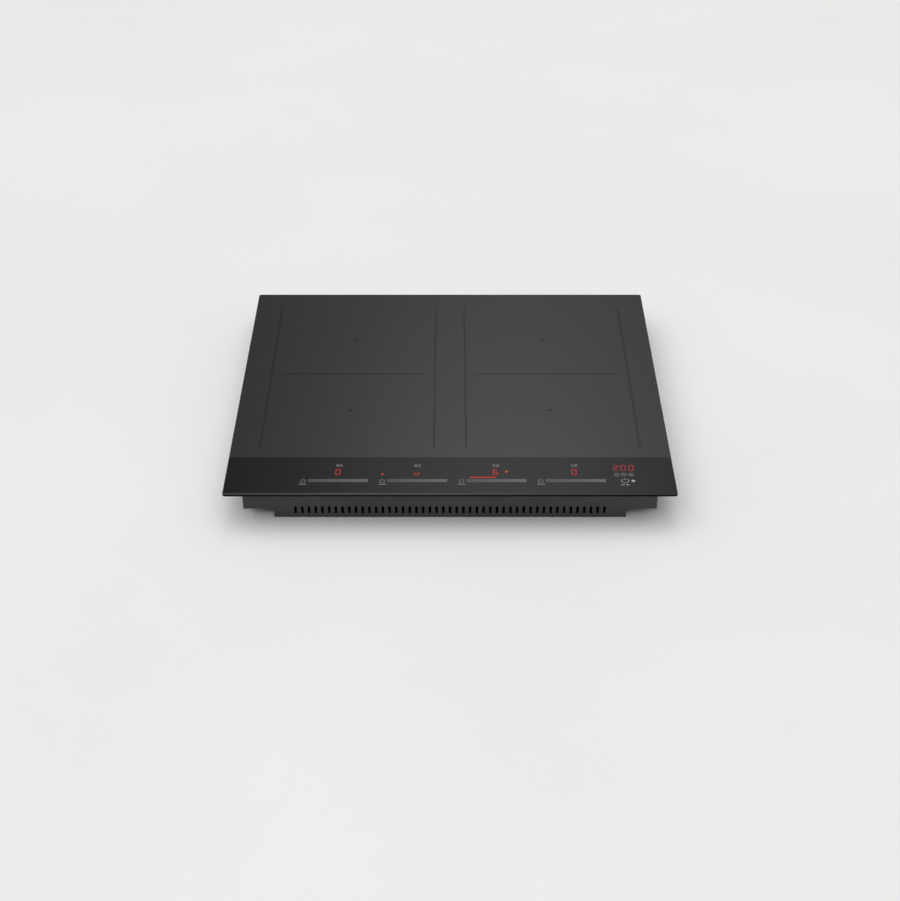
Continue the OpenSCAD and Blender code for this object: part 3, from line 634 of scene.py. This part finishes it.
def slider_ticks(x):
    """A slider as fine upright ticks, which grow wider to the right."""
    pitch = 1.0 * MM
    count = round(SLIDER_L / pitch)
    shapes = []
    for i in range(count):
        share = i / (count - 1)
        middle = x - SLIDER_L / 2 + (i + 0.5) * pitch
        shapes.append(bar(middle, SLIDER_Y, pitch * (0.42 + 0.34 * share), SLIDER_W))
    return shapes


def pan_icon(x, y):
    """A pot with its lid on, seen from the side, above a zone's line."""
    line = 1.0 * MM
    top, base = 4.4 * MM, -1.6 * MM
    return [
        bar(x, y + top + 1.8 * MM, 2.2 * MM, line),
        bar(x, y + top, 7.4 * MM, line),
        stroke((x - 2.9 * MM, y + top - line / 2), (x - 2.5 * MM, y + base + line / 2), line),
        stroke((x + 2.9 * MM, y + top - line / 2), (x + 2.5 * MM, y + base + line / 2), line),
        bar(x, y + base, 6.0 * MM, line),
        bar(x, y - 5.2 * MM, 10.5 * MM, 2.0 * MM),
    ]


def zone_icon(x, y, column, row):
    """The four zones as small frames, with one of them filled."""
    size, gap, line = 3.6 * MM, 1.0 * MM, 0.5 * MM
    shapes = []
    for c in (0, 1):
        for r in (0, 1):
            cx = x + (c - 0.5) * (size + gap)
            cy = y + (r - 0.5) * (size / 2 + gap)
            w, h = size, size / 2
            if (c, r) == (column, row):
                shapes.append(bar(cx, cy, w, h))
            else:
                shapes += hollow_bar(cx, cy, w, h, line)
    return shapes


def power_icon(x, y):
    """A ring that is open at the top, with a bar in its gap and two short bars below it."""
    r, line = 4.6 * MM, 1.2 * MM
    shapes = ring(x, y, r, line, 125, 415) + [bar(x, y + r - line / 2, line, 4.6 * MM)]
    middle = x - 0.5 * MM
    shapes += [bar(middle + end * 3.2 * MM, y - 9 * MM, 5.0 * MM, 2.0 * MM) for end in (-1, 1)]
    return shapes


def clock_icon(x, y):
    line = 0.7 * MM
    hands = [stroke((x, y), (x, y + 2.2 * MM), line),
             stroke((x + 0.5 * MM, y + line / 2), (x + 1.8 * MM, y + line / 2), line)]
    return ring(x, y, KEY_R, line) + hands


def sign_icon(x, y, plus):
    """A ringed minus, or a ringed plus."""
    size, line = 3.4 * MM, 0.8 * MM
    shapes = ring(x, y, KEY_R, 0.7 * MM) + [bar(x, y, size, line)]
    if plus:
        arm = (size - line) / 2
        shapes += [bar(x, y + end * (line + arm) / 2, line, arm) for end in (-1, 1)]
    return shapes


def make_control_print():
    ticks, pans, keys = [], [], []
    zones = ((0, 1), (0, 0), (1, 0), (1, 1))
    for x, (column, row) in zip(SLIDERS, zones):
        ticks += slider_ticks(x)
        pans += pan_icon(x - SLIDER_L / 2 - 6.5 * MM, SLIDER_Y - 3.1 * MM)
        keys += zone_icon(x, LABEL_Y, column, row)
    keys += sign_icon(TIMER_X - KEY_PITCH, KEY_Y, False)
    keys += clock_icon(TIMER_X, KEY_Y)
    keys += sign_icon(TIMER_X + KEY_PITCH, KEY_Y, True)
    keys += power_icon(POWER_X, POWER_Y)
    raised("slider_print", ticks, "zone_print", PRINT_GREY)
    raised("pan_icons", pans, "zone_print", PRINT_GREY)
    raised("key_print", keys, "zone_print", PRINT_PALE)


# ---- Lights behind the glass ----

SEGMENTS = {"0": "abcdef", "2": "abged", "6": "acdefg", "u": "cde"}


def digit(x, y, figure):
    """A seven-segment figure."""
    line = 1.3 * MM
    gap = 0.25 * MM
    half_w = (DIGIT_W - line) / 2
    half_h = (DIGIT_H - line) / 2

    def segment(ax, ay, bx, by):
        a, b = Vector((x + ax, y + ay)), Vector((x + bx, y + by))
        along = (b - a).normalized()
        side = Vector((-along.y, along.x)) * line / 2
        a, b = a + along * gap, b - along * gap
        tip = along * line / 2
        points = (a, a + tip - side, b - tip - side, b, b - tip + side, a + tip + side)
        return [tuple(p) for p in points]

    places = {
        "a": (-half_w, half_h, half_w, half_h),
        "b": (half_w, half_h, half_w, 0),
        "c": (half_w, 0, half_w, -half_h),
        "d": (half_w, -half_h, -half_w, -half_h),
        "e": (-half_w, -half_h, -half_w, 0),
        "f": (-half_w, 0, -half_w, half_h),
        "g": (-half_w, 0, half_w, 0),
    }
    return [segment(*places[s]) for s in SEGMENTS[figure]]


def make_lights():
    red, dim = [], []
    for x, figure in zip(SLIDERS, "0u60"):
        red += digit(x - DIGIT_SHIFT, DIGIT_Y, figure)
    for i, figure in enumerate("200"):
        dim += digit(TIMER_X + (i - 1) * DIGIT_PITCH, TIMER_Y, figure)
    for up in (-1, 1):
        dim.append(disc(TIMER_X - DIGIT_PITCH / 2, TIMER_Y + up * 2.6 * MM, 0.65 * MM, 12))
    raised("timer_digits", dim, "display_red", DIM_LIGHT)
    raised("red_digits", red, "display_red", RED_LIGHT)
    level_x, level_w = (LEVEL_LOW + LEVEL_HIGH) / 2, LEVEL_HIGH - LEVEL_LOW
    level = bar(level_x, LEVEL_Y, level_w, 2.4 * MM, 1.1 * MM)
    raised("red_signals", [level, disc(*RED_SIGNAL, 1.8 * MM)], "light_bar", RED_LIGHT)
    x, y = ORANGE_SIGNAL
    back, tip, half = x - 1.8 * MM, x + 2.4 * MM, 3.6 * MM
    arrow = [(back, y - half), (tip, y), (back, y + half)]
    raised("orange_signal", [arrow], "light_bar", ORANGE_LIGHT)
    raised("white_signal", [disc(*WHITE_SIGNAL, 2.6 * MM)], "light_bar", WHITE_LIGHT)


# ---- Springs and leads under the coil decks ----

SPRING_L = 60 * MM
SPRING_W = 10 * MM
SPRING_T = 0.4 * MM
LEAD_R = 1.5 * MM
LEAD_STEP = 8 * MM         # how far a lead bends sideways on its way up


def chamfered(w, h, c):
    """A rectangle about the origin with its corners cut."""
    return [(w / 2 - c, -h / 2), (w / 2, -h / 2 + c), (w / 2, h / 2 - c), (w / 2 - c, h / 2),
            (-w / 2 + c, h / 2), (-w / 2, h / 2 - c), (-w / 2, -h / 2 + c), (-w / 2 + c, -h / 2)]


def add_strip(bm, path, section):
    """Carries a flat section along a path in an XZ plane; section's first axis is Y."""
    rows = []
    for i, point in enumerate(path):
        run = path[min(i + 1, len(path) - 1)] - path[max(i - 1, 0)]
        across = Vector((-run.z, 0, run.x)).normalized()
        rows.append([bm.verts.new(point + Vector((0, a, 0)) + across * b) for a, b in section])
    loft(bm, rows)


def spring_path(x, y, low, rise):
    """An arch that stands on its two ends."""
    steps = 24
    points = []
    for i in range(steps + 1):
        t = 2 * i / steps - 1
        across = t * (SPRING_L / 2 - SPRING_T)
        up = SPRING_T / 2 + (rise - SPRING_T) * (1 - t * t)
        points.append(Vector((x + across, y, low + up)))
    return points


def make_springs():
    for side in ("left", "right"):
        node = "deck_springs_" + side
        low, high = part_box(node)
        bm = bmesh.new()
        for x in (low.x + SPRING_L / 2, high.x - SPRING_L / 2):
            for y in (low.y + SPRING_W / 2, high.y - SPRING_W / 2):
                path = spring_path(x, y, low.z, high.z - low.z)
                add_strip(bm, path, chamfered(SPRING_W, SPRING_T, 0.1 * MM))
        springs = add_piece("spring_strips_" + side, bm, "spring_steel", LOOKS["spring_steel"],
                            smooth=35)
        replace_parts(springs, node)
        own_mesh(springs)


def lead_path(x, y, low, high, turn):
    """Straight up from the board, a smooth step sideways, and straight up to the deck."""
    steps = 20
    points = [Vector((x, y, low))]
    bend_low = low + 0.2 * (high - low)
    bend_high = low + 0.85 * (high - low)
    for i in range(steps + 1):
        t = i / steps
        step = t * t * (3 - 2 * t)
        points.append(Vector((x + turn * step, y, bend_low + (bend_high - bend_low) * t)))
    return points + [Vector((x + turn, y, high))]


def make_leads():
    for side, sign in (("left", -1), ("right", 1)):
        node = "coil_leads_" + side
        low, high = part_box(node)
        bm = bmesh.new()
        middle = sign * ZONE_X
        for y in (low.y + LEAD_R, high.y - LEAD_R):
            for turn in (-LEAD_STEP, LEAD_STEP):
                path = lead_path(middle + turn, y, low.z, high.z, turn)
                add_tube(bm, path, LEAD_R)
        leads = add_piece("lead_tubes_" + side, bm, "lead_sleeve", LOOKS["lead_sleeve"],
                          smooth=35)
        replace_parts(leads, node)
        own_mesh(leads)


# ---- Wires from the terminal block to the filter board, and on to the power boards ----

WIRE_R = 1.3 * MM
WIRE_BEND = 5 * MM         # from where a wire starts to turn to its route's corner


def eased(corners):
    """A route through corners that it rounds off."""
    path = [corners[0]]
    steps = 8
    for before, corner, after in zip(corners, corners[1:], corners[2:]):
        legs = (before - corner, after - corner)
        start, end = (corner + leg.normalized() * min(WIRE_BEND, 0.49 * leg.length) for leg in legs)
        for i in range(steps + 1):
            t = i / steps
            path.append(start.lerp(corner, t).lerp(corner.lerp(end, t), t))
    return path + [corners[-1]]


def make_wires():
    """Three wires round behind the fans, and two pairs on to the boards; routes in millimetres."""
    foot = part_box("mains_wires")[0].z / MM
    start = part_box("terminal_block")[1].x / MM
    routes = []
    for i in (-1, 0, 1):
        z, end_y = 20 + 3.2 * i, 226 - 4 * i
        routes.append([(start, 200, z), (-120, 200, z), (-120, 234, z), (121, 234, z),
                       (121, end_y, z), (121, end_y, foot)])
    for i in (0, 1):
        near, far, z = 122 + 6 * i, 150 + 6 * i, 14 + 4 * i
        routes.append([(far, 140, foot), (far, 140, z), (far, 113, z), (far, 113, foot)])
        routes.append([(near, 140, foot), (near, 140, z), (near, 124, z),
                       (-near, 124, z), (-near, 113, z), (-near, 113, foot)])
    bm = bmesh.new()
    for route in routes:
        add_tube(bm, eased([Vector(point) * MM for point in route]), WIRE_R)
    wires = add_piece("wire_tubes", bm, "wire_brown", LOOKS["wire_brown"], smooth=35)
    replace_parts(wires, "mains_wires")


# ---- Chokes: ring cores wound with one layer of wire ----

CHOKE_RING_R = 12 * MM
CHOKE_TUBE_R = 7 * MM
CHOKE_WIRE_R = 0.7 * MM
CHOKE_TURNS = 20


def ring_point(centre, u, v, tube_r):
    """A point on a core, u round it and v round its tube, and the way out of the tube there."""
    outward = Vector((math.cos(v) * math.cos(u), math.cos(v) * math.sin(u), math.sin(v)))
    spoke = Vector((math.cos(u), math.sin(u), 0)) * CHOKE_RING_R
    return centre + spoke + outward * tube_r, outward


def add_core(bm, centre):
    steps, sides = 40, 16
    tube_r = CHOKE_TUBE_R - 2 * CHOKE_WIRE_R
    rows = []
    for i in range(steps):
        u = math.tau * i / steps
        points = [ring_point(centre, u, math.tau * j / sides, tube_r)[0] for j in range(sides)]
        rows.append([bm.verts.new(p) for p in points])
    loft(bm, rows, closed=True)


def add_turns(bm, centre):
    steps, sides = 18 * CHOKE_TURNS, 6
    wound = []
    for i in range(steps):
        u = math.tau * i / steps
        wound.append(ring_point(centre, u, u * CHOKE_TURNS, CHOKE_TUBE_R - CHOKE_WIRE_R))
    rows = []
    for i, (point, outward) in enumerate(wound):
        run = (wound[(i + 1) % steps][0] - wound[i - 1][0]).normalized()
        across = run.cross(outward)
        rows.append([bm.verts.new(point + outward * a + across * b)
                     for a, b in disc(0, 0, CHOKE_WIRE_R, sides)])
    loft(bm, rows, closed=True)


def make_chokes():
    low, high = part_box("chokes")
    reach = CHOKE_RING_R + CHOKE_TUBE_R
    cores, turns = bmesh.new(), bmesh.new()
    for x in (low.x + reach, high.x - reach):
        for y in (low.y + reach, high.y - reach):
            centre = Vector((x, y, low.z + CHOKE_TUBE_R))
            add_core(cores, centre)
            add_turns(turns, centre)
    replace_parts(add_piece("choke_cores", cores, "ferrite", LOOKS["ferrite"], smooth=60), "chokes")
    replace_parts(add_piece("choke_turns", turns, "choke_wire", LOOKS["choke_wire"], smooth=60),
                "chokes")


# ---- The stage ----

FLOOR_R = 14.0

# How bright the room is, as strengths of its white light
HAZE = 0.72                # at eye level, all round
GLOW = 1.8                 # behind the hob, where its glass reflects it
WALLS = 0.7                # beside and behind the camera
LEAST = 0.02               # anywhere


def make_floor():
    bm = bmesh.new()
    bmesh.ops.create_circle(bm, cap_ends=True, segments=96, radius=FLOOR_R)
    m = Material("floor", (0.8, 0.8, 0.79), roughness=0.7)
    m.paint(m.noise(1.5, 4), (0.77, 0.77, 0.76), 0.35, 0.7)
    link("floor", mesh_from("floor", bm, [m]))


def make_world():
    """A plain pale room, as sums of soft patches over the sky's directions x, y and z."""
    world = bpy.data.worlds.new("studio")
    bpy.context.scene.world = world
    world.use_nodes = True
    nodes, links = world.node_tree.nodes, world.node_tree.links

    def combine(operation, a, *others):
        """A chain of math nodes, which applies the operation to a and each other value in turn."""
        for b in others:
            made = nodes.new("ShaderNodeMath")
            made.operation = operation
            for socket, value in zip(made.inputs, (a, b)):
                if isinstance(value, (int, float)):
                    socket.default_value = value
                else:
                    links.new(value, socket)
            a = made.outputs["Value"]
        return a

    def bell(value, middle, spread):
        """One at the middle, and falling off to both sides."""
        away = combine("DIVIDE", combine("SUBTRACT", value, middle), spread)
        return combine("POWER", 1 / math.e, combine("MULTIPLY", away, away))

    direction = nodes.new("ShaderNodeSeparateXYZ")
    links.new(nodes.new("ShaderNodeTexCoord").outputs["Generated"], direction.inputs["Vector"])
    x, y, z = (direction.outputs[axis] for axis in "XYZ")
    haze = combine("MULTIPLY", bell(z, 0.0, 0.25), HAZE)

    # The glow behind the hob: its middle moves left and it narrows a little as it climbs
    ahead = combine("GREATER_THAN", y, 0.0)
    climb = combine("MAXIMUM", combine("SUBTRACT", z, 0.7), 0.0)
    middle = combine("SUBTRACT", 0.035, combine("MULTIPLY", climb, 0.22))
    width = combine("SUBTRACT", 0.125, combine("MULTIPLY", climb, 0.07))
    height = combine("ADD", bell(z, 0.8, 0.25), combine("MULTIPLY", bell(z, 1.0, 0.1), 0.55))
    behind = combine("MULTIPLY", ahead, bell(x, middle, width), height, GLOW)

    # The walls, everywhere but behind the hob
    beside = combine("SUBTRACT", 1.0, combine("MULTIPLY", ahead, bell(x, 0.0, 0.35)))
    height = combine("ADD", bell(z, 0.8, 0.25), combine("MULTIPLY", bell(z, 0.42, 0.16), 0.5))
    walls = combine("MULTIPLY", beside, height, WALLS)
    strength = combine("ADD", haze, behind, walls, LEAST)
    nodes["Background"].inputs["Color"].default_value = (1.0, 1.0, 1.0, 1.0)
    links.new(strength, nodes["Background"].inputs["Strength"])


def make_light_and_camera():
    """A wide, soft sky light from the upper left front, and the camera."""
    light = bpy.data.lights.new("key", "SUN")
    light.energy = 1.65
    light.angle = math.radians(88)
    lamp = link("key", light)
    lamp.rotation_euler = Vector((0.2, 0.15, -1.0)).to_track_quat("-Z", "Y").to_euler()
    data = bpy.data.cameras.new("camera")
    data.sensor_width = 36.0
    data.lens = 67.05
    camera = link("camera", data)
    camera.location = (0.0, -2.043, 1.364)
    pitch_down = 34.87
    camera.rotation_euler = (math.radians(90 - pitch_down), 0.0, 0.0)
    bpy.context.scene.camera = camera


dress_cad_nodes()
make_glass()
make_zone_print()
make_control_print()
make_lights()
make_springs()
make_leads()
make_wires()
make_chokes()
make_floor()
make_world()
make_light_and_camera()
bpy.context.scene.view_settings.view_transform = "Standard"
